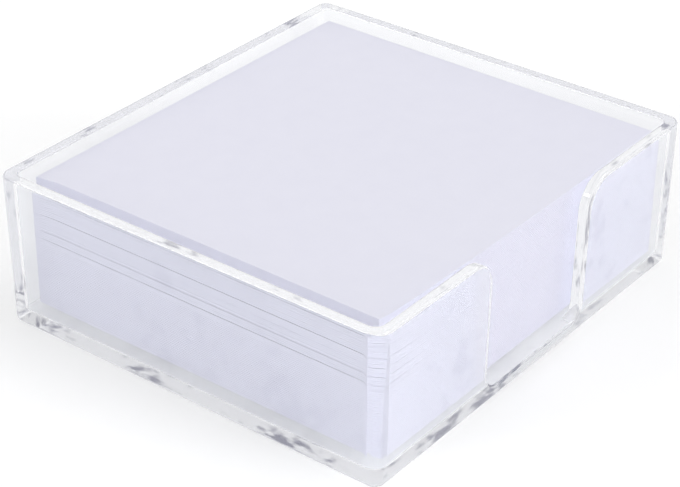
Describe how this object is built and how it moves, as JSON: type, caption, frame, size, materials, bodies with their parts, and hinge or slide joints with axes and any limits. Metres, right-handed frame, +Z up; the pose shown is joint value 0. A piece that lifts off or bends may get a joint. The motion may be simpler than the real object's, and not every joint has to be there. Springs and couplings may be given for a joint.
{
  "type": "memo sheet tray",
  "caption": "Clear open-topped box of moulded plastic that holds a stack of loose white memo sheets, with a finger gap in one long wall for taking them out.",
  "frame": {"origin": "middle of the base, on the surface that the tray stands on", "axes": "+X along the wall with the finger gap, -Y out through the gap, +Z up"},
  "size_m": [0.11, 0.0992, 0.0359],
  "materials": {
    "clear_plastic": "clear, water-white, polished",
    "sheet_paper": "plain white, uncoated, matte"
  },
  "bodies": {
    "tray": {"tray": "clear_plastic"},
    "top_sheet": {"top_sheet": "sheet_paper"},
    "packet_02": {"sheets_02": "sheet_paper"},
    "packet_03": {"sheets_03": "sheet_paper"},
    "packet_04": {"sheets_04": "sheet_paper"},
    "packet_05": {"sheets_05": "sheet_paper"},
    "packet_06": {"sheets_06": "sheet_paper"},
    "packet_07": {"sheets_07": "sheet_paper"},
    "packet_08": {"sheets_08": "sheet_paper"},
    "packet_09": {"sheets_09": "sheet_paper"},
    "packet_10": {"sheets_10": "sheet_paper"},
    "packet_11": {"sheets_11": "sheet_paper"},
    "packet_12": {"sheets_12": "sheet_paper"},
    "packet_13": {"sheets_13": "sheet_paper"},
    "packet_14": {"sheets_14": "sheet_paper"},
    "packet_15": {"sheets_15": "sheet_paper"},
    "packet_16": {"sheets_16": "sheet_paper"}
  },
  "joints": [
    {"name": "lift_top_sheet", "type": "slide", "parent": "packet_02", "child": "top_sheet", "axis": [0, 0, 1], "range_m": [0, 0.0048]},
    {"name": "lift_packet_02", "type": "slide", "parent": "packet_03", "child": "packet_02", "axis": [0, 0, 1], "range_m": [0, 0.0086]},
    {"name": "lift_packet_03", "type": "slide", "parent": "packet_04", "child": "packet_03", "axis": [0, 0, 1], "range_m": [0, 0.0092]},
    {"name": "lift_packet_04", "type": "slide", "parent": "packet_05", "child": "packet_04", "axis": [0, 0, 1], "range_m": [0, 0.0099]},
    {"name": "lift_packet_05", "type": "slide", "parent": "packet_06", "child": "packet_05", "axis": [0, 0, 1], "range_m": [0, 0.0111]},
    {"name": "lift_packet_06", "type": "slide", "parent": "packet_07", "child": "packet_06", "axis": [0, 0, 1], "range_m": [0, 0.0124]},
    {"name": "lift_packet_07", "type": "slide", "parent": "packet_08", "child": "packet_07", "axis": [0, 0, 1], "range_m": [0, 0.0134]},
    {"name": "lift_packet_08", "type": "slide", "parent": "packet_09", "child": "packet_08", "axis": [0, 0, 1], "range_m": [0, 0.0144]},
    {"name": "lift_packet_09", "type": "slide", "parent": "packet_10", "child": "packet_09", "axis": [0, 0, 1], "range_m": [0, 0.0154]},
    {"name": "lift_packet_10", "type": "slide", "parent": "packet_11", "child": "packet_10", "axis": [0, 0, 1], "range_m": [0, 0.0163]},
    {"name": "lift_packet_11", "type": "slide", "parent": "packet_12", "child": "packet_11", "axis": [0, 0, 1], "range_m": [0, 0.0173]},
    {"name": "lift_packet_12", "type": "slide", "parent": "packet_13", "child": "packet_12", "axis": [0, 0, 1], "range_m": [0, 0.0181]},
    {"name": "lift_packet_13", "type": "slide", "parent": "packet_14", "child": "packet_13", "axis": [0, 0, 1], "range_m": [0, 0.0191]},
    {"name": "lift_packet_14", "type": "slide", "parent": "packet_15", "child": "packet_14", "axis": [0, 0, 1], "range_m": [0, 0.0199]},
    {"name": "lift_packet_15", "type": "slide", "parent": "packet_16", "child": "packet_15", "axis": [0, 0, 1], "range_m": [0, 0.0224]},
    {"name": "lift_packet_16", "type": "slide", "parent": "tray", "child": "packet_16", "axis": [0, 0, 1], "range_m": [0, 0.0347]}
  ]
}
